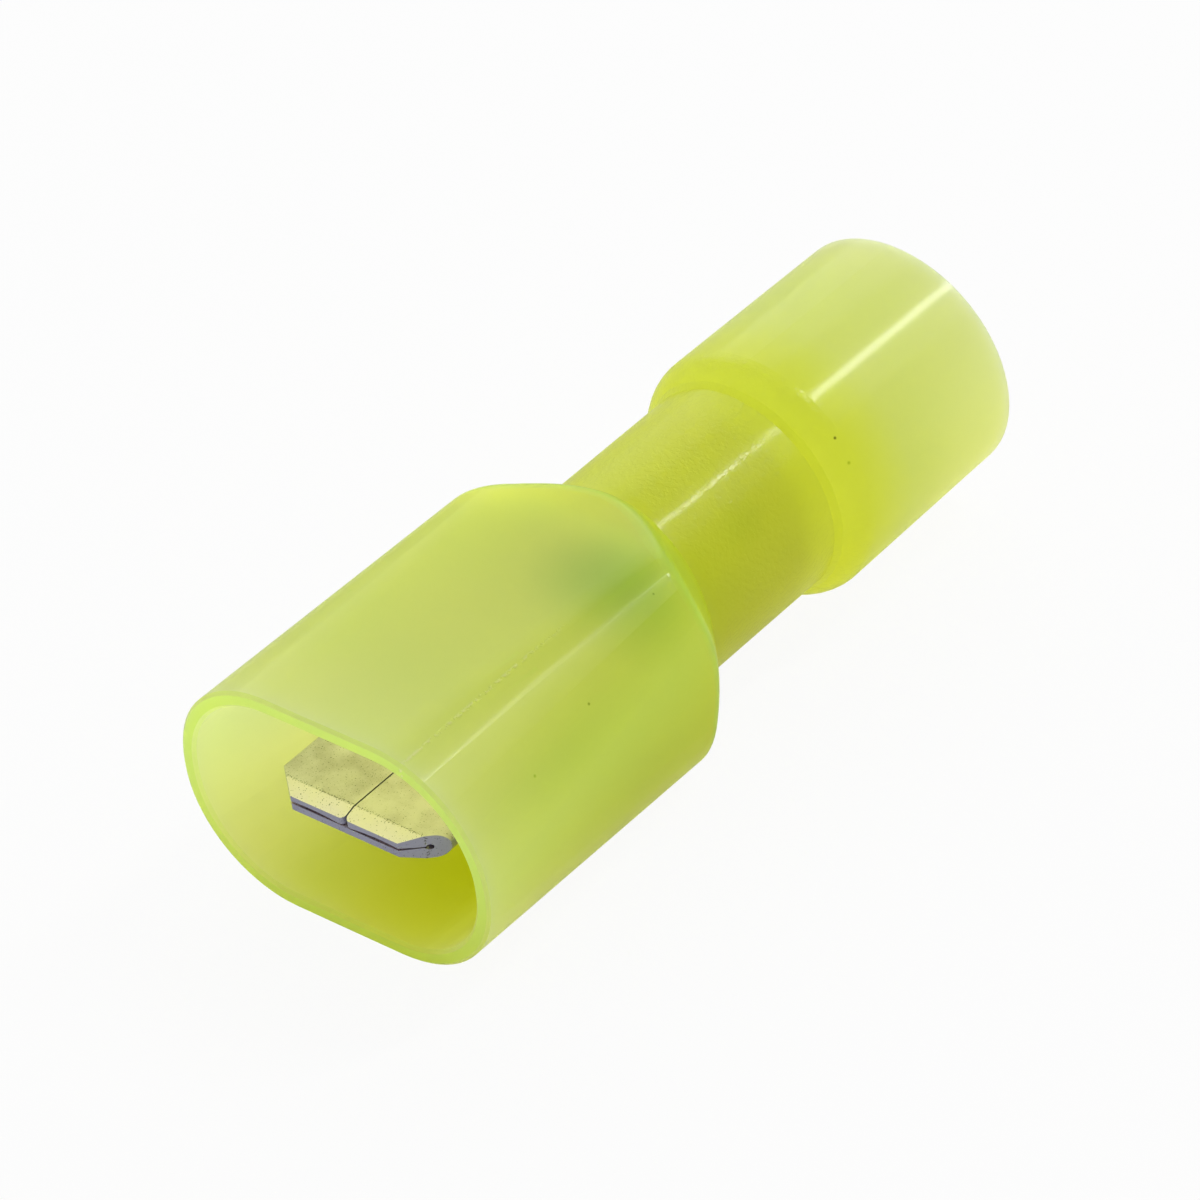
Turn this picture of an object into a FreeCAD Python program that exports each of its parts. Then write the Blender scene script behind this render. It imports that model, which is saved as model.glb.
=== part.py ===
import FreeCAD
import Part
import math
import os

from FreeCAD import Vector

# Insulated male tab terminal for crimping onto a wire, in millimetres.
# X runs along the terminal: the tab points to -X and the wire enters from +X. Z is up.
# The origin is on the axis, where the wire enters the metal barrel.

# Tab, folded from one strip into two plies
tab_width = 6.35
tab_thickness = 0.8
tab_length = 8.0
ply_gap = 0.04
seam_gap = 0.05
seam_corner_radius = 0.18
fold_pocket_radius = 0.09
flap_bow = 0.07
flap_bow_start = 0.25
flap_bow_end = 2.38
tip_chamfer_length = 1.02
tip_chamfer_width = 1.15
lead_in_length = 0.5
lead_in_drop = 0.15
detent_radius = 0.9
detent_from_tip = 4.1

# Bridge between the tab and the barrel
bridge_length = 3.1
bridge_width = 4.6
bridge_wing_angle = 77.0
bridge_steps = 3
bridge_closing_power = 3

# Crimp barrel
wire_bore_radius = 1.85
barrel_length = 6.8
barrel_seam_gap = 0.06
groove_count = 3
groove_pitch = 1.3
groove_width = 0.45
groove_depth = 0.06

# Housing hood: a flat-oval tube, cut at its rear by an oval cone
hood_wall = 0.52
hood_lead = 0.48
mouth_width = 11.53
mouth_height = 7.72
mouth_corner_radius = 3.75
mouth_rise = 0.22
tail_width = 9.32
tail_height = 7.63
tail_corner_radius = 1.81
tail_drop = 0.06
shoulder_cone_angle = 45.8
shoulder_cone_flattening = 0.94
shoulder_rounding = 0.8
shoulder_wall = 0.8
rim_chamfer = 0.1
corner_arcs = 6

# Housing neck and bell
neck_radius = 3.57
barrel_in_hood = 1.63
barrel_clearance = 0.03
neck_past_barrel = 0.6
neck_root_chamfer = 0.16
bell_step = 0.62
bell_rear_radius = 4.11
bell_front_rounding = 1.1
bell_length = 8.0
bell_wall = 0.62
seat_land = 0.4
funnel_end = 3.4

# Stations and sizes that follow from the values above
strip = (tab_thickness - ply_gap) / 2.0
barrel_front_x = -barrel_length
tab_rear_x = barrel_front_x - bridge_length
tip_x = tab_rear_x - tab_length
mouth_x = tip_x - hood_lead
shoulder_end_x = barrel_front_x + barrel_in_hood
bell_start_x = neck_past_barrel
bell_end_x = bell_start_x + bell_length
barrel_outer_radius = wire_bore_radius + strip
barrel_mid_radius = wire_bore_radius + strip / 2.0
bell_front_radius = neck_radius + bell_step
bell_bore_radius = bell_rear_radius - bell_wall


def box(x0, x1, y0, y1, z0, z1):
    """Block between two corners."""
    return Part.makeBox(x1 - x0, y1 - y0, z1 - z0, Vector(x0, y0, z0))


def cylinder_x(radius, x0, x1):
    """Round bar along the terminal's axis."""
    return Part.makeCylinder(radius, x1 - x0, Vector(x0, 0, 0), Vector(1, 0, 0))


def prism(points, direction):
    """Straight prism on a closed polygon."""
    outline = Part.makePolygon(points + points[:1])
    return Part.Face(outline).extrude(direction)


def rounded_section(x, width, height, radius, rise):
    """Closed outline across the axis: four flats joined by four round corners."""
    corners = []
    for side, level in ((1, 1), (-1, 1), (-1, -1), (1, -1)):
        centre_y = side * (width / 2.0 - radius)
        centre_z = rise + level * (height / 2.0 - radius)
        points = []
        for step in range(2 * corner_arcs + 1):
            turn = math.pi / 2.0 * step / (2 * corner_arcs)
            y = centre_y + side * radius * math.cos(turn)
            z = centre_z + level * radius * math.sin(turn)
            points.append(Vector(x, y, z))
        if side != level:
            points.reverse()
        corners.append(points)
    outline = []
    for index, points in enumerate(corners):
        for first in range(0, 2 * corner_arcs, 2):
            outline.append(Part.Arc(*points[first:first + 3]).toShape())
        following = corners[(index + 1) % 4]
        outline.append(Part.LineSegment(points[-1], following[0]).toShape())
    return Part.Wire(outline)


def shoulder_cone(end_x):
    """Oval cone that opens towards the mouth from the neck's radius at its small end."""
    growth = (end_x - mouth_x) * math.tan(math.radians(shoulder_cone_angle))
    rings = []
    for x, half_h in ((mouth_x, neck_radius + growth), (end_x, neck_radius)):
        top = Vector(x, 0, half_h)
        side = Vector(x, half_h * shoulder_cone_flattening, 0)
        rings.append(Part.Wire([Part.Ellipse(top, side, Vector(x, 0, 0)).toShape()]))
    return Part.makeLoft(rings, True, True)


def hood_form(inset, end_x):
    """Solid of the hood's outer or inner form, inset from the outside by a wall."""
    mouth = rounded_section(
        mouth_x,
        mouth_width - 2 * inset,
        mouth_height - 2 * inset,
        mouth_corner_radius - inset,
        mouth_rise,
    )
    tail = rounded_section(
        shoulder_end_x,
        tail_width - 2 * inset,
        tail_height - 2 * inset,
        tail_corner_radius - inset,
        -tail_drop,
    )
    return Part.makeLoft([mouth, tail], True, True).common(shoulder_cone(end_x))


def neck_and_bell():
    """Turned outer form of the neck and the bell."""
    front_angle = math.acos(1.0 - bell_step / bell_front_rounding)
    crown_x = bell_start_x + bell_front_rounding * math.sin(front_angle)
    centre_r = bell_front_radius - bell_front_rounding
    inner_x = shoulder_end_x - shoulder_wall / 2.0

    def front_point(angle):
        return Vector(
            crown_x - bell_front_rounding * math.sin(angle),
            0,
            centre_r + bell_front_rounding * math.cos(angle),
        )

    neck_front = Vector(inner_x, 0, neck_radius)
    neck_rear = front_point(front_angle)
    crown = front_point(0.0)
    rim_start = Vector(bell_end_x - rim_chamfer, 0, bell_rear_radius)
    rim_end = Vector(bell_end_x, 0, bell_rear_radius - rim_chamfer)
    outline = Part.Wire([
        Part.LineSegment(Vector(inner_x, 0, 0), neck_front).toShape(),
        Part.LineSegment(neck_front, neck_rear).toShape(),
        Part.Arc(neck_rear, front_point(front_angle / 2.0), crown).toShape(),
        Part.LineSegment(crown, rim_start).toShape(),
        Part.LineSegment(rim_start, rim_end).toShape(),
        Part.LineSegment(rim_end, Vector(bell_end_x, 0, 0)).toShape(),
        Part.LineSegment(Vector(bell_end_x, 0, 0), Vector(inner_x, 0, 0)).toShape(),
    ])
    turned = Part.Face(outline).revolve(Vector(0, 0, 0), Vector(1, 0, 0), 360)
    root = [
        edge for edge in turned.Edges
        if abs(edge.BoundBox.XMin - bell_start_x) < 1e-6
        and abs(edge.BoundBox.XMax - bell_start_x) < 1e-6
    ]
    return turned.makeChamfer(neck_root_chamfer, root)


def wire_way():
    """Space inside the bell: a straight entry, a funnel and the barrel's pocket."""
    pocket_radius = barrel_outer_radius + barrel_clearance
    points = [
        Vector(barrel_front_x, 0, 0),
        Vector(barrel_front_x, 0, pocket_radius),
        Vector(0, 0, pocket_radius),
        Vector(0, 0, wire_bore_radius),
        Vector(seat_land, 0, wire_bore_radius),
        Vector(funnel_end, 0, bell_bore_radius),
        Vector(bell_end_x - rim_chamfer, 0, bell_bore_radius),
        Vector(bell_end_x, 0, bell_bore_radius + rim_chamfer),
        Vector(bell_end_x, 0, 0),
    ]
    outline = Part.makePolygon(points + points[:1])
    return Part.Face(outline).revolve(Vector(0, 0, 0), Vector(1, 0, 0), 360)


def make_housing():
    """One-piece nylon moulding."""
    wall_shift = shoulder_wall / math.sin(math.radians(shoulder_cone_angle))
    outside = hood_form(0.0, shoulder_end_x)
    cavity = hood_form(hood_wall, shoulder_end_x - wall_shift)
    ridge = [
        edge for edge in outside.Edges
        if edge.BoundBox.XMin > mouth_x + hood_lead
        and edge.BoundBox.XMax < shoulder_end_x - shoulder_rounding / 2.0
    ]
    hood = outside.makeFillet(shoulder_rounding, ridge).cut(cavity).removeSplitter()
    rim = [
        edge for edge in hood.Edges
        if edge.BoundBox.XMax - mouth_x < 1e-6
    ]
    hood = hood.makeChamfer(rim_chamfer, rim)
    return hood.fuse(neck_and_bell().cut(cavity)).cut(wire_way()).removeSplitter()


def tab_blank():
    """Flattened fold: full round sides, corner chamfers and lead-in bevels at the tip."""
    half_t = tab_thickness / 2.0
    half_w = tab_width / 2.0
    core = box(tip_x, tab_rear_x, -half_w + half_t, half_w - half_t, -half_t, half_t)
    blank = core
    for side in (-1, 1):
        fold = cylinder_x(half_t, tip_x, tab_rear_x)
        fold.translate(Vector(0, side * (half_w - half_t), 0))
        blank = blank.fuse(fold)
    for side in (-1, 1):
        corner = prism(
            [
                Vector(tip_x, side * (half_w - tip_chamfer_width), -tab_thickness),
                Vector(tip_x + tip_chamfer_length, side * half_w, -tab_thickness),
                Vector(tip_x, side * (half_w + tip_chamfer_width), -tab_thickness),
            ],
            Vector(0, 0, 2 * tab_thickness),
        )
        blank = blank.cut(corner)
    for level in (-1, 1):
        bevel = prism(
            [
                Vector(tip_x, -tab_width, level * (half_t - lead_in_drop)),
                Vector(tip_x + lead_in_length, -tab_width, level * half_t),
                Vector(tip_x, -tab_width, level * (half_t + lead_in_drop)),
            ],
            Vector(0, 2 * tab_width, 0),
        )
        blank = blank.cut(bevel)
    return blank.removeSplitter()


def ply_space():
    """Thin space between the plies, with a rounder pocket in each fold."""
    half_gap = ply_gap / 2.0
    pocket_y = tab_width / 2.0 - strip - fold_pocket_radius
    bow_middle = (flap_bow_start + flap_bow_end) / 2.0
    space = box(tip_x, tab_rear_x, -pocket_y, pocket_y, -half_gap, half_gap)
    for side in (-1, 1):
        pocket = cylinder_x(fold_pocket_radius, tip_x, tab_rear_x)
        pocket.translate(Vector(0, side * pocket_y, 0))
        space = space.fuse(pocket)
        inner = Vector(tip_x, side * flap_bow_start, half_gap)
        outer = Vector(tip_x, side * flap_bow_end, half_gap)
        crest = Vector(tip_x, side * bow_middle, half_gap + flap_bow)
        lens = Part.Wire([
            Part.Arc(inner, crest, outer).toShape(),
            Part.LineSegment(outer, inner).toShape(),
        ])
        space = space.fuse(Part.Face(lens).extrude(Vector(tab_length, 0, 0)))
    return space


def seam_space():
    """Butt seam between the two flaps, with rounded corners at the tip."""
    half_gap = seam_gap / 2.0
    radius = seam_corner_radius
    slot = box(tip_x, tab_rear_x, -half_gap, half_gap, 0, tab_thickness)
    notch = box(tip_x, tip_x + radius, -half_gap - radius, half_gap + radius, 0, tab_thickness)
    for side in (-1, 1):
        corner = Part.makeCylinder(
            radius,
            tab_thickness,
            Vector(tip_x + radius, side * (half_gap + radius), 0),
            Vector(0, 0, 1),
        )
        notch = notch.cut(corner)
    return slot.fuse(notch)


def make_tab():
    """Two-ply tab with its seam on top and its detent hole."""
    detent = Part.makeCylinder(
        detent_radius,
        2 * tab_thickness,
        Vector(tip_x + detent_from_tip, 0, -tab_thickness),
        Vector(0, 0, 1),
    )
    return tab_blank().cut(ply_space()).cut(seam_space()).cut(detent)


def curved_strip(x, mid_radius, half_angle, bottom):
    """Section of the strip bent into an arc whose lowest point is at the given height."""
    centre = bottom + mid_radius

    def point(radius, angle):
        return Vector(x, radius * math.sin(angle), centre - radius * math.cos(angle))

    outer = mid_radius + strip / 2.0
    inner = mid_radius - strip / 2.0
    return Part.Wire([
        Part.Arc(point(outer, -half_angle), point(outer, 0), point(outer, half_angle)).toShape(),
        Part.LineSegment(point(outer, half_angle), point(inner, half_angle)).toShape(),
        Part.Arc(point(inner, half_angle), point(inner, 0), point(inner, -half_angle)).toShape(),
        Part.LineSegment(point(inner, -half_angle), point(outer, -half_angle)).toShape(),
    ])


def make_bridge():
    """Lower ply drawn down and dished until it meets the barrel's lower half."""
    half_w = bridge_width / 2.0
    low = -tab_thickness / 2.0
    flat = Part.makePolygon([
        Vector(tab_rear_x, -half_w, low),
        Vector(tab_rear_x, half_w, low),
        Vector(tab_rear_x, half_w, low + strip),
        Vector(tab_rear_x, -half_w, low + strip),
        Vector(tab_rear_x, -half_w, low),
    ])
    ply_mid = low + strip / 2.0
    sections = [flat]
    for step in range(1, bridge_steps + 1):
        part_way = step / bridge_steps
        ease = part_way * part_way * (3.0 - 2.0 * part_way)
        bottom = ply_mid + (-barrel_mid_radius - ply_mid) * ease
        mid_radius = barrel_mid_radius / part_way
        end_angle = math.radians(bridge_wing_angle)
        free_angle = half_w / mid_radius
        half_angle = free_angle + (end_angle - free_angle) * part_way ** bridge_closing_power
        x = tab_rear_x + bridge_length * part_way
        sections.append(curved_strip(x, mid_radius, half_angle, bottom))
    return Part.makeLoft(sections, True, False)


def make_barrel():
    """Strip rolled into a tube, with its butt seam on top and vee grooves inside."""
    tube = cylinder_x(barrel_outer_radius, barrel_front_x, 0)
    tube = tube.cut(cylinder_x(wire_bore_radius, barrel_front_x, 0))
    half_gap = barrel_seam_gap / 2.0
    tube = tube.cut(box(barrel_front_x, 0, -half_gap, half_gap, 0, 2 * barrel_outer_radius))
    middle_x = -barrel_length / 2.0
    groove_radius = wire_bore_radius + groove_depth
    for index in range(groove_count):
        centre_x = middle_x + (index - (groove_count - 1) / 2.0) * groove_pitch
        for side in (-1, 1):
            start = Vector(centre_x + side * groove_width / 2.0, 0, 0)
            flank = Part.makeCone(
                wire_bore_radius,
                groove_radius,
                groove_width / 2.0,
                start,
                Vector(-side, 0, 0),
            )
            tube = tube.cut(flank)
    return tube


def make_terminal():
    """One stamped and folded strip: tab, bridge and barrel."""
    return make_tab().fuse(make_bridge()).fuse(make_barrel())


def main():
    os.makedirs("parts", exist_ok=True)
    nodes = {"housing": make_housing(), "terminal": make_terminal()}
    for name, shape in nodes.items():
        solid = shape.Solids[0] if len(shape.Solids) == 1 else shape
        solid.exportStep(f"parts/{name}.step")
        print(name, "valid", solid.isValid(), "solids", len(shape.Solids), "volume", round(solid.Volume, 3))


main()
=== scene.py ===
import bpy
import math
from mathutils import Matrix, Vector

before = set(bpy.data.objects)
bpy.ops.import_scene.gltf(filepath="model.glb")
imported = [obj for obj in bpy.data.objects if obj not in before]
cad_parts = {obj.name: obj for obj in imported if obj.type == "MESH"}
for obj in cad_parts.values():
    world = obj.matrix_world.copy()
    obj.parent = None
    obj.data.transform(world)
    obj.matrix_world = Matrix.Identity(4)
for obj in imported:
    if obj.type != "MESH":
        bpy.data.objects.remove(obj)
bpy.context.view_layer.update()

MM = 0.001

# Places along the terminal, in mm: X runs from the hood's mouth to the bell's end
MOUTH = -18.4
LEAD_IN = -17.36
TAB_ROOT = -9.0
HOOD_TAIL = -5.2
BELL_END = 8.6

# Sockets of a colour Mix node
FIRST, SECOND, MIXED = 6, 7, 2


def linear(hex_colour):
    """sRGB hex to linear red, green, blue and alpha."""
    parts = [int(hex_colour[i:i + 2], 16) / 255 for i in (1, 3, 5)]
    return [p / 12.92 if p <= 0.04045 else ((p + 0.055) / 1.055) ** 2.4 for p in parts] + [1.0]


def add_node(tree, kind, settings=None, links=None):
    """A node with its settings, and its inputs set to a value or joined to a socket."""
    node = tree.nodes.new(kind)
    for name, value in (settings or {}).items():
        setattr(node, name, value)
    for name, value in (links or {}).items():
        socket = node.inputs[name]
        if isinstance(value, bpy.types.NodeSocket):
            tree.links.new(value, socket)
        else:
            socket.default_value = value
    return node


# Camera, at the photograph's viewing angle
aim = Vector((-9.933, -3.570, 4.278)) * MM
back = Vector((-0.57279, -0.54988, 0.60790))
camera_distance = 195.52 * MM
camera_roll = math.radians(-7.905)
camera_data = bpy.data.cameras.new("camera")
camera_data.sensor_width = 36
camera_data.lens = 205.9
camera_data.clip_start = 0.01
camera = bpy.data.objects.new("camera", camera_data)
bpy.context.scene.collection.objects.link(camera)
camera.rotation_mode = "QUATERNION"
camera.matrix_world = (
    Matrix.Translation(aim + back * camera_distance)
    @ back.to_track_quat("Z", "Y").to_matrix().to_4x4()
    @ Matrix.Rotation(camera_roll, 4, "Z")
)
bpy.context.scene.camera = camera


def seen_directly(tree):
    """1 for rays from the camera, glass and gloss, which see a white studio, and 0 for soft light."""
    path = add_node(tree, "ShaderNodeLightPath")
    most = add_node(tree, "ShaderNodeMath", {"operation": "MAXIMUM"}, {
        0: path.outputs["Is Camera Ray"], 1: path.outputs["Is Transmission Ray"]})
    return add_node(tree, "ShaderNodeMath", {"operation": "MAXIMUM"}, {
        0: most.outputs[0], 1: path.outputs["Is Glossy Ray"]}).outputs[0]


# World: a white studio, softer on the object's right
world = bpy.data.worlds.new("studio")
bpy.context.scene.world = world
world.use_nodes = True
tree = world.node_tree
tree.nodes.clear()
path = add_node(tree, "ShaderNodeLightPath")
direction = add_node(tree, "ShaderNodeTexCoord")
leftward = add_node(tree, "ShaderNodeVectorMath", {"operation": "DOT_PRODUCT"}, {
    0: direction.outputs["Generated"], 1: (0.35, 0.94, 0.0)}).outputs["Value"]
soft = add_node(tree, "ShaderNodeMapRange", {"interpolation_type": "SMOOTHSTEP"}, {
    "Value": leftward, "From Min": -1.0, "From Max": 0.6, "To Min": 0.24, "To Max": 0.63}).outputs["Result"]
clear = add_node(tree, "ShaderNodeMapRange", {"interpolation_type": "SMOOTHSTEP"}, {
    "Value": leftward, "From Min": -1.0, "From Max": 0.6, "To Min": 0.6, "To Max": 1.0}).outputs["Result"]
by_ray = add_node(tree, "ShaderNodeMix", {"data_type": "FLOAT"}, {
    "Factor": seen_directly(tree), "A": soft, "B": clear})
strength = add_node(tree, "ShaderNodeMath", {"operation": "MAXIMUM"}, {
    0: by_ray.outputs[0], 1: path.outputs["Is Camera Ray"]})
background = add_node(tree, "ShaderNodeBackground", links={
    "Color": linear("#FFFFFF"), "Strength": strength.outputs[0]})
add_node(tree, "ShaderNodeOutputWorld", links={"Surface": background.outputs[0]})


def lamp(name, azimuth, elevation, distance, size, power):
    """Soft rectangular lamp, in metres and watts, that faces the terminal's middle from the given angles."""
    data = bpy.data.lights.new(name, "AREA")
    data.shape = "RECTANGLE"
    data.size, data.size_y = size
    data.energy = power
    lit = bpy.data.objects.new(name, data)
    bpy.context.scene.collection.objects.link(lit)
    a, e = math.radians(azimuth), math.radians(elevation)
    way = Vector((math.cos(a) * math.cos(e), math.sin(a) * math.cos(e), math.sin(e)))
    lit.location = Vector((-5 * MM, 0, 0)) + way * distance
    lit.rotation_mode = "QUATERNION"
    lit.rotation_quaternion = way.to_track_quat("Z", "Y")


lamp("rear_strip", -24, 49, 0.4, (0.02, 0.16), 0.32)
lamp("rear_softbox", -36, 40, 0.5, (0.12, 0.20), 0.10)
lamp("left_softbox", 40, 29, 0.5, (0.50, 0.36), 0.68)

# Floor, tilted a little because the terminal rests on its bell and its hood
floor_mesh = bpy.data.meshes.new("floor")
half = 0.6
floor_mesh.from_pydata(
    [(-half, -half, 0), (half, -half, 0), (half, half, 0), (-half, half, 0)], [], [(0, 1, 2, 3)])
floor = bpy.data.objects.new("floor", floor_mesh)
bpy.context.scene.collection.objects.link(floor)
floor.location = (1.0 * MM, 0, -4.2 * MM)
floor.rotation_euler = (0, math.radians(1.6), 0)

# White paper: matt, with some white of its own for camera, glass and gloss, and the rest takes the shadow
paper = bpy.data.materials.new("white_paper")
paper.use_nodes = True
tree = paper.node_tree
tree.nodes.clear()
path = add_node(tree, "ShaderNodeLightPath")
glass_share = add_node(tree, "ShaderNodeMath", {"operation": "MULTIPLY"}, {0: seen_directly(tree), 1: 0.25})
gloss_share = add_node(tree, "ShaderNodeMath", {"operation": "MULTIPLY"}, {
    0: path.outputs["Is Glossy Ray"], 1: 0.6})
share = add_node(tree, "ShaderNodeMath", {"operation": "MAXIMUM"}, {
    0: glass_share.outputs[0], 1: gloss_share.outputs[0]})
share = add_node(tree, "ShaderNodeMath", {"operation": "MAXIMUM"}, {
    0: share.outputs[0], 1: path.outputs["Is Camera Ray"]})
share = add_node(tree, "ShaderNodeMath", {"operation": "MINIMUM"}, {0: share.outputs[0], 1: 0.93})
matt = add_node(tree, "ShaderNodeBsdfPrincipled", links={"Base Color": linear("#F2F2F2"), "Roughness": 0.9})
white = add_node(tree, "ShaderNodeEmission", links={"Color": linear("#FFFFFF"), "Strength": 1.0})
surface = add_node(tree, "ShaderNodeMixShader", links={
    0: share.outputs[0], 1: matt.outputs[0], 2: white.outputs[0]})
add_node(tree, "ShaderNodeOutputMaterial", links={"Surface": surface.outputs[0]})
floor_mesh.materials.append(paper)

# Nylon, injection moulded: a glossy skin over a cloudy see-through wall. Light comes through it soft and
# yellow-green, deeper in colour where the wall is thick; its glow along the wall to its cut edges is painted.
nylon = bpy.data.materials.new("moulded_nylon")
nylon.use_nodes = True
tree = nylon.node_tree
tree.nodes.clear()
place = add_node(tree, "ShaderNodeTexCoord")
spot = place.outputs["Object"]
along = add_node(tree, "ShaderNodeSeparateXYZ", links={0: spot})
x, y, z = along.outputs["X"], along.outputs["Y"], along.outputs["Z"]
facing_x = add_node(tree, "ShaderNodeSeparateXYZ", links={0: place.outputs["Normal"]}).outputs["X"]

# Tints of the skin and the wall along the housing: deep at the neck and the front of the bell, thin behind.
# This is partly the wall's thickness and partly painted: painted shade at the neck, where the metal barrel lies close
# behind the wall, and painted light at the back of the bell, lit through its open end.
length = add_node(tree, "ShaderNodeMapRange", links={
    "Value": x, "From Min": MOUTH * MM, "From Max": BELL_END * MM, "To Min": 0.0, "To Max": 1.0}).outputs["Result"]
tints = []
for steps in (
        ((MOUTH, "#FCFFA0"), (-6.0, "#FDFF90"), (-5.0, "#FDFF59"), (1.6, "#FDFF81"), (3.6, "#FCFFE1")),
        ((MOUTH, "#FCFFF9"), (-6.0, "#FDFFEA"), (-5.0, "#FDFFCB"), (1.6, "#FCFEE1"), (3.6, "#FAFCFF"),
         (BELL_END, "#F8F9FF"))):
    ramp = add_node(tree, "ShaderNodeValToRGB", links={0: length})
    while len(ramp.color_ramp.elements) < len(steps):
        ramp.color_ramp.elements.new(0.5)
    for element, (step_x, colour) in zip(ramp.color_ramp.elements, steps):
        element.position = (step_x - MOUTH) / (BELL_END - MOUTH)
        element.color = linear(colour)
    tints.append(ramp.outputs["Color"])
skin_tint, wall_tint = tints

# Painted shade: the colour is yellower and deeper towards the bottom, where less white light reaches
height = add_node(tree, "ShaderNodeMapRange", {"interpolation_type": "SMOOTHSTEP"}, {
    "Value": z, "From Min": -4.0 * MM, "From Max": 2.0 * MM, "To Min": 0.0, "To Max": 1.0}).outputs["Result"]
painted_shade_mottle_and_specks = add_node(tree, "ShaderNodeMix", {"data_type": "RGBA"}, {
    "Factor": height, FIRST: linear("#FFFDE7"), SECOND: linear("#FCFFFF")}).outputs[MIXED]

# Cloudiness, a few millimetres across
cloud = add_node(tree, "ShaderNodeTexNoise", links={"Vector": spot, "Scale": 1 / (4.5 * MM), "Detail": 2.0})
cloud = add_node(tree, "ShaderNodeMapRange", links={
    "Value": cloud.outputs["Fac"], "From Min": 0.35, "From Max": 0.65, "To Min": 0.0, "To Max": 1.0})
cloud = add_node(tree, "ShaderNodeMix", {"data_type": "RGBA"}, {
    "Factor": cloud.outputs["Result"], FIRST: linear("#FCFEFA"), SECOND: linear("#FFFFFF")}).outputs[MIXED]
painted_shade_mottle_and_specks = add_node(tree, "ShaderNodeMix", {"data_type": "RGBA", "blend_type": "MULTIPLY"}, {
    "Factor": 1.0, FIRST: painted_shade_mottle_and_specks, SECOND: cloud}).outputs[MIXED]

# Soft round painted shades, then dark specks: each has its centre and its reach along X, Y and Z in mm, and a colour
for centre, reach, colour in (
        ((-8.3, -2.9, 3.5), (3.2, 3.4, 2.8), "#DAEBC8"),        # painted shade of the metal behind the hood's top
        ((-2.9, -2.9, 2.1), (1.2, 1.0, 1.0), "#F7FAF3"),        # painted shade of the barrel behind the neck
        ((-15.5, 4.3, 0.5), (4.5, 1.5, 4.0), "#F1F2FF"),        # painted shade, duller, on the inside of the hood's left wall
        ((-11.0, 5.6, 1.5), (9.0, 2.6, 4.0), "#F5F9FF"),        # painted shade, duller, along the hood's left edge
        ((-13.5, -1.8, -4.0), (8.5, 6.5, 3.0), "#FAFC27"),      # painted shade on the hood's floor, under the tab
        ((-14.0, -5.3, 2.1), (5.5, 1.2, 1.3), "#F7FAF3"),       # painted shade along the hood's right corner
        ((1.34, -3.21, 2.64), (0.075, 0.075, 0.075), "#3F3F27"),
        ((1.31, -3.68, 1.92), (0.09, 0.09, 0.09), "#CBD4AA"),
        ((-12.26, -4.81, 2.6), (0.07, 0.07, 0.07), "#A0AD7C"),
        ((-15.19, -5.16, 2.17), (0.08, 0.08, 0.08), "#CBDAAA"),
        ((-8.1, -3.95, 3.42), (0.06, 0.06, 0.06), "#BCCBAA")):
    away = add_node(tree, "ShaderNodeVectorMath", {"operation": "SUBTRACT"}, {0: spot, 1: [c * MM for c in centre]})
    away = add_node(tree, "ShaderNodeVectorMath", {"operation": "DIVIDE"}, {
        0: away.outputs[0], 1: [r * MM for r in reach]})
    away = add_node(tree, "ShaderNodeVectorMath", {"operation": "LENGTH"}, {0: away.outputs[0]})
    near = add_node(tree, "ShaderNodeMapRange", {"interpolation_type": "SMOOTHSTEP"}, {
        "Value": away.outputs["Value"], "From Min": 0.0, "From Max": 1.0, "To Min": 1.0, "To Max": 0.0})
    painted_shade_mottle_and_specks = add_node(tree, "ShaderNodeMix", {"data_type": "RGBA", "blend_type": "MULTIPLY"}, {
        "Factor": near.outputs["Result"], FIRST: painted_shade_mottle_and_specks, SECOND: linear(colour)}).outputs[MIXED]

skin_tint = add_node(tree, "ShaderNodeMix", {"data_type": "RGBA", "blend_type": "MULTIPLY"}, {
    "Factor": 1.0, FIRST: skin_tint, SECOND: painted_shade_mottle_and_specks}).outputs[MIXED]
wall_tint = add_node(tree, "ShaderNodeMix", {"data_type": "RGBA", "blend_type": "MULTIPLY"}, {
    "Factor": 1.0, FIRST: wall_tint, SECOND: painted_shade_mottle_and_specks}).outputs[MIXED]

# Painted light: the mouth's cut face is painted a bright green glow, for light led along the wall, and given a little
# light of its own
at_mouth = add_node(tree, "ShaderNodeMath", {"operation": "LESS_THAN"}, {0: x, 1: -17.5 * MM})
cut_face = add_node(tree, "ShaderNodeMapRange", links={
    "Value": facing_x, "From Min": -0.6, "From Max": -0.9, "To Min": 0.0, "To Max": 1.0})
rim = add_node(tree, "ShaderNodeMath", {"operation": "MULTIPLY"}, {
    0: at_mouth.outputs[0], 1: cut_face.outputs["Result"]}).outputs[0]
rim_tint = add_node(tree, "ShaderNodeMix", {"data_type": "RGBA"}, {
    "Factor": height, FIRST: linear("#F3FF30"), SECOND: linear("#DDFF6C")}).outputs[MIXED]

# Painted light: the shoulder's rounded edge is painted a softer, brighter green, for the glow of light through the
# solid nylon there
on_hood = add_node(tree, "ShaderNodeMath", {"operation": "LESS_THAN"}, {0: x, 1: HOOD_TAIL * MM})
turning = add_node(tree, "ShaderNodeMapRange", links={
    "Value": facing_x, "From Min": 0.02, "From Max": 0.35, "To Min": 0.0, "To Max": 0.9})
turned = add_node(tree, "ShaderNodeMapRange", links={
    "Value": facing_x, "From Min": 0.45, "From Max": 0.75, "To Min": 1.0, "To Max": 0.2})
edge = add_node(tree, "ShaderNodeMath", {"operation": "MULTIPLY"}, {
    0: turning.outputs["Result"], 1: turned.outputs["Result"]})
edge = add_node(tree, "ShaderNodeMath", {"operation": "MULTIPLY"}, {0: edge.outputs[0], 1: on_hood.outputs[0]})

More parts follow.
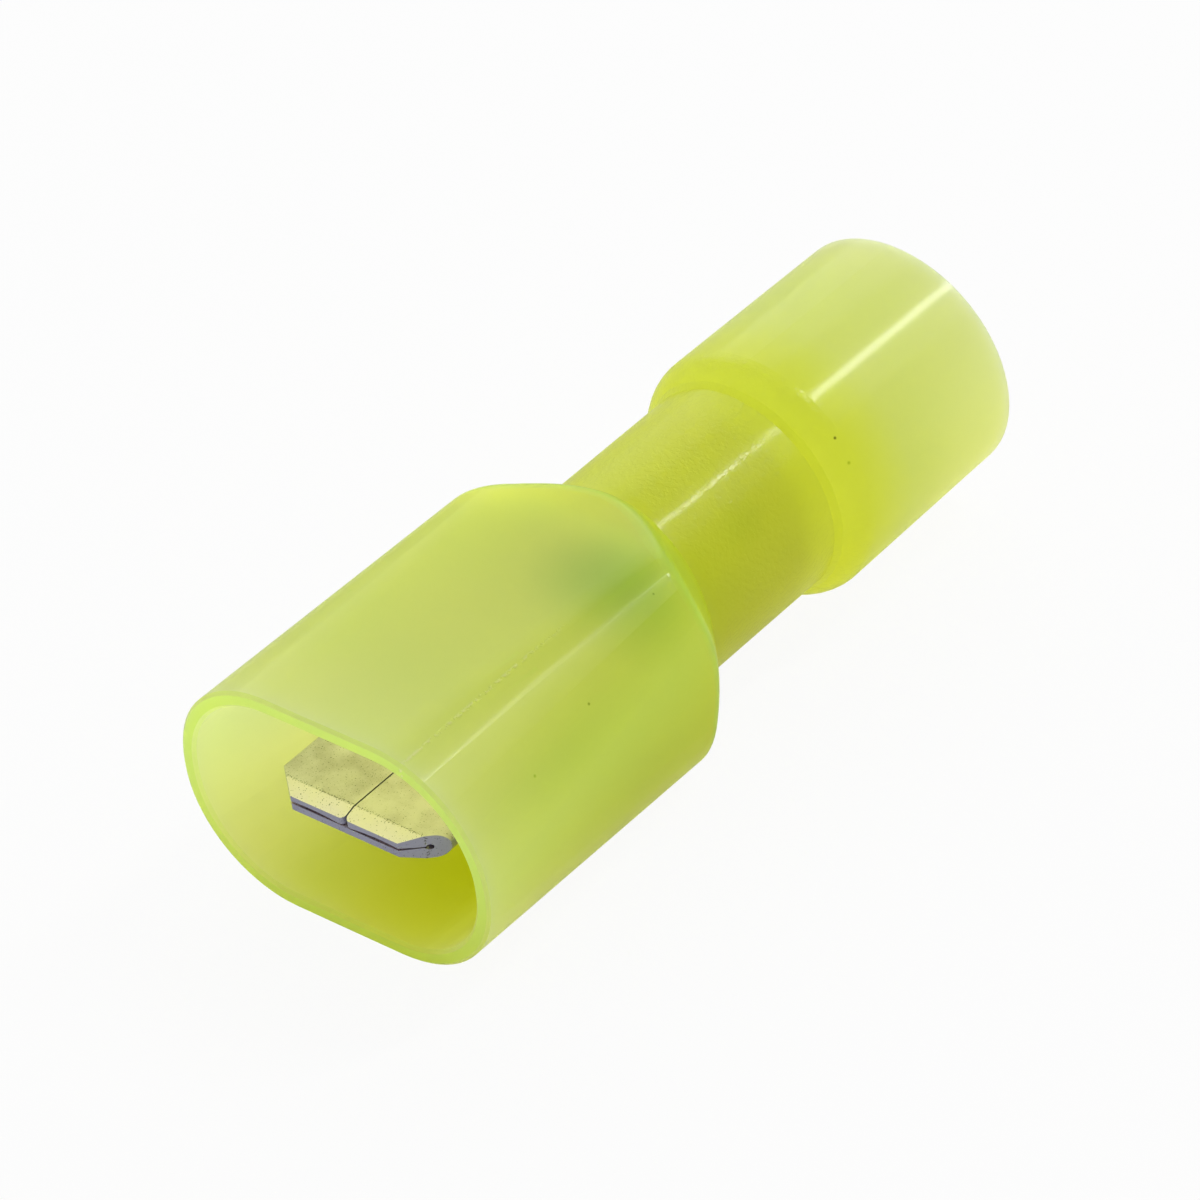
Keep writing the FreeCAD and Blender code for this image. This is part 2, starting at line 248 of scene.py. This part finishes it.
# Both painted glows, the cut face's and the shoulder edge's, go into the skin and the wall
for share, skin_green, wall_green in (
        (rim, rim_tint, linear("#EFFFCB")), (edge.outputs[0], linear("#DDFF76"), linear("#EAFFD3"))):
    skin_tint = add_node(tree, "ShaderNodeMix", {"data_type": "RGBA"}, {
        "Factor": share, FIRST: skin_tint, SECOND: skin_green}).outputs[MIXED]
    wall_tint = add_node(tree, "ShaderNodeMix", {"data_type": "RGBA"}, {
        "Factor": share, FIRST: wall_tint, SECOND: wall_green}).outputs[MIXED]

# A fine ridge along the hood's top, where the flat ends: 0.18 mm wide, in grains of 0.16 mm. Its grains also carry a
# painted sparkling highlight
beside = add_node(tree, "ShaderNodeMath", {"operation": "MULTIPLY_ADD"}, {0: x, 1: -0.017, 2: y})
beside = add_node(tree, "ShaderNodeMath", {"operation": "ADD"}, {0: beside.outputs[0], 1: 2.83 * MM})
beside = add_node(tree, "ShaderNodeMath", {"operation": "ABSOLUTE"}, {0: beside.outputs[0]})
ridge_and_painted_glint = add_node(tree, "ShaderNodeMapRange", {"interpolation_type": "SMOOTHSTEP"}, {
    "Value": beside.outputs[0], "From Min": 0.0, "From Max": 0.09 * MM, "To Min": 1.0, "To Max": 0.0}).outputs["Result"]
grain = add_node(tree, "ShaderNodeTexNoise", links={"Vector": spot, "Scale": 1 / (0.16 * MM), "Detail": 2.0})
grain = add_node(tree, "ShaderNodeMapRange", links={
    "Value": grain.outputs["Fac"], "From Min": 0.45, "From Max": 0.55, "To Min": 0.0, "To Max": 1.0}).outputs["Result"]
fading = add_node(tree, "ShaderNodeMapRange", {"interpolation_type": "SMOOTHSTEP"}, {
    "Value": x, "From Min": -13.5 * MM, "From Max": -10.2 * MM, "To Min": 1.0, "To Max": 0.0})
on_top = add_node(tree, "ShaderNodeMath", {"operation": "GREATER_THAN"}, {0: z, 1: 3.4 * MM})
for part in (grain, fading.outputs["Result"], on_top.outputs[0]):
    ridge_and_painted_glint = add_node(tree, "ShaderNodeMath", {"operation": "MULTIPLY"}, {0: ridge_and_painted_glint, 1: part}).outputs[0]

# The neck has the same grain, much lower, which breaks up its highlight
neck = add_node(tree, "ShaderNodeMapRange", {"interpolation_type": "SMOOTHSTEP"}, {
    "Value": x, "From Min": HOOD_TAIL * MM, "From Max": -4.8 * MM, "To Min": 0.0, "To Max": 0.08})
neck_end = add_node(tree, "ShaderNodeMapRange", {"interpolation_type": "SMOOTHSTEP"}, {
    "Value": x, "From Min": 1.0 * MM, "From Max": 2.0 * MM, "To Min": 1.0, "To Max": 0.0})
neck = add_node(tree, "ShaderNodeMath", {"operation": "MULTIPLY"}, {
    0: neck.outputs["Result"], 1: neck_end.outputs["Result"]})
bumps = add_node(tree, "ShaderNodeMath", {"operation": "MULTIPLY_ADD"}, {0: neck.outputs[0], 1: grain, 2: ridge_and_painted_glint})
relief = add_node(tree, "ShaderNodeBump", links={
    "Height": bumps.outputs[0], "Strength": 1.0, "Distance": 0.09 * MM}).outputs[0]

# Painted highlight: the ridge's grains are whiter than the skin round it, and both they and the rim give a little
# painted light of their own
white_share = add_node(tree, "ShaderNodeMath", {"operation": "MULTIPLY"}, {0: ridge_and_painted_glint, 1: 0.7}).outputs[0]
wall_tint = add_node(tree, "ShaderNodeMix", {"data_type": "RGBA"}, {
    "Factor": white_share, FIRST: wall_tint, SECOND: linear("#FFFFFF")}).outputs[MIXED]
skin_tint = add_node(tree, "ShaderNodeMix", {"data_type": "RGBA"}, {
    "Factor": white_share, FIRST: skin_tint, SECOND: linear("#FFFFF9")}).outputs[MIXED]
glow_tint = add_node(tree, "ShaderNodeMix", {"data_type": "RGBA"}, {
    "Factor": ridge_and_painted_glint, FIRST: linear("#89FF3F"), SECOND: linear("#FFFFF3")}).outputs[MIXED]
glow = add_node(tree, "ShaderNodeMath", {"operation": "MULTIPLY"}, {0: rim, 1: 0.1})
glow = add_node(tree, "ShaderNodeMath", {"operation": "MULTIPLY_ADD"}, {0: ridge_and_painted_glint, 1: 0.12, 2: glow.outputs[0]})

# Gloss comes from the coat alone, and the wall takes out blue
skin = add_node(tree, "ShaderNodeBsdfPrincipled", links={
    "Base Color": skin_tint,
    "Emission Color": glow_tint,
    "Emission Strength": glow.outputs[0],
    "Roughness": 0.45,
    "Transmission Weight": 0.8,
    "IOR": 1.45,
    "Specular IOR Level": 0.0,
    "Coat Weight": 1.0,
    "Coat Roughness": 0.14,
    "Coat IOR": 1.5,
    "Normal": relief,
    "Coat Normal": relief,
})
wall = add_node(tree, "ShaderNodeBsdfTranslucent", links={"Color": wall_tint})
surface = add_node(tree, "ShaderNodeMixShader", links={0: 0.65, 1: skin.outputs[0], 2: wall.outputs[0]})
inside = add_node(tree, "ShaderNodeVolumeAbsorption", links={"Color": linear("#FFFF00"), "Density": 900.0})
add_node(tree, "ShaderNodeOutputMaterial", links={"Surface": surface.outputs[0], "Volume": inside.outputs[0]})

# Tin plating on stamped brass: satin faces, clouded and pricked with dark pin holes, a burnished lead-in
# where the tip was pressed, and duller grey edges where the strip was sheared
tin = bpy.data.materials.new("tin_plated_brass")
tin.use_nodes = True
tree = tin.node_tree
tree.nodes.clear()
place = add_node(tree, "ShaderNodeTexCoord")
spot = place.outputs["Object"]
x = add_node(tree, "ShaderNodeSeparateXYZ", links={0: spot}).outputs["X"]
facing_z = add_node(tree, "ShaderNodeSeparateXYZ", links={0: place.outputs["Normal"]}).outputs["Z"]
upright = add_node(tree, "ShaderNodeMath", {"operation": "ABSOLUTE"}, {0: facing_z})

# Sheared edges stand upright on the tab, and the lead-in is the last half millimetre of the tip
at_tab = add_node(tree, "ShaderNodeMath", {"operation": "LESS_THAN"}, {0: x, 1: TAB_ROOT * MM})
sheared = add_node(tree, "ShaderNodeMapRange", links={
    "Value": upright.outputs[0], "From Min": 0.25, "From Max": 0.5, "To Min": 1.0, "To Max": 0.0})
sheared = add_node(tree, "ShaderNodeMath", {"operation": "MULTIPLY"}, {
    0: sheared.outputs["Result"], 1: at_tab.outputs[0]}).outputs[0]
tip = add_node(tree, "ShaderNodeMapRange", links={
    "Value": x, "From Min": LEAD_IN * MM, "From Max": (LEAD_IN - 0.06) * MM,
    "To Min": 0.0, "To Max": 1.0}).outputs["Result"]

# Uneven tarnish, a millimetre or so across
tarnish = add_node(tree, "ShaderNodeTexNoise", links={
    "Vector": spot, "Scale": 1 / (1.1 * MM), "Detail": 4.0, "Roughness": 0.6})
tarnish = add_node(tree, "ShaderNodeMapRange", links={
    "Value": tarnish.outputs["Fac"], "From Min": 0.35, "From Max": 0.7, "To Min": 0.0, "To Max": 1.0}).outputs["Result"]
face = add_node(tree, "ShaderNodeMix", {"data_type": "RGBA"}, {
    "Factor": tarnish, FIRST: linear("#E6DCEA"), SECOND: linear("#C6BCC2")}).outputs[MIXED]
face = add_node(tree, "ShaderNodeMix", {"data_type": "RGBA"}, {
    "Factor": tip, FIRST: face, SECOND: linear("#F6EAF0")}).outputs[MIXED]
face = add_node(tree, "ShaderNodeMix", {"data_type": "RGBA"}, {
    "Factor": sheared, FIRST: face, SECOND: linear("#A2A2B4")}).outputs[MIXED]

# Dark pin holes, drawn at 0.05 mm, coarser than real ones, so that they show. They are thickest in the
# tarnish and at the bend where the lead-in starts.
pits = add_node(tree, "ShaderNodeTexNoise", links={"Vector": spot, "Scale": 1 / (0.05 * MM), "Detail": 1.0})
bend = add_node(tree, "ShaderNodeMath", {"operation": "SUBTRACT"}, {0: x, 1: LEAD_IN * MM})
bend = add_node(tree, "ShaderNodeMath", {"operation": "ABSOLUTE"}, {0: bend.outputs[0]})
bend = add_node(tree, "ShaderNodeMapRange", {"interpolation_type": "SMOOTHSTEP"}, {
    "Value": bend.outputs[0], "From Min": 0.0, "From Max": 0.1 * MM, "To Min": 0.14, "To Max": 0.0}).outputs["Result"]
wear = add_node(tree, "ShaderNodeMath", {"operation": "MULTIPLY_ADD"}, {0: tarnish, 1: 0.06, 2: bend})
wear = add_node(tree, "ShaderNodeMath", {"operation": "ADD"}, {0: wear.outputs[0], 1: pits.outputs["Fac"]})
holes = add_node(tree, "ShaderNodeMapRange", links={
    "Value": wear.outputs[0], "From Min": 0.69, "From Max": 0.74, "To Min": 0.0, "To Max": 0.75}).outputs["Result"]
face = add_node(tree, "ShaderNodeMix", {"data_type": "RGBA"}, {
    "Factor": holes, FIRST: face, SECOND: linear("#3A3626")}).outputs[MIXED]

# Tarnish and sheared edges are rougher
rough = add_node(tree, "ShaderNodeMapRange", links={
    "Value": tarnish, "From Min": 0.0, "From Max": 1.0, "To Min": 0.34, "To Max": 0.48}).outputs["Result"]
rough = add_node(tree, "ShaderNodeMath", {"operation": "MULTIPLY_ADD", "use_clamp": True}, {
    0: sheared, 1: 0.2, 2: rough})
plate = add_node(tree, "ShaderNodeBsdfPrincipled", links={
    "Base Color": face, "Metallic": 1.0, "Roughness": rough.outputs[0]})
add_node(tree, "ShaderNodeOutputMaterial", links={"Surface": plate.outputs[0]})

for node, material in (("housing", nylon), ("terminal", tin)):
    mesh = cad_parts[node].data
    mesh.materials.clear()
    mesh.materials.append(material)

# Light crosses several nylon walls before it leaves the hood
scene = bpy.context.scene
scene.cycles.max_bounces = 12
scene.cycles.diffuse_bounces = 7
scene.view_settings.view_transform = "Standard"
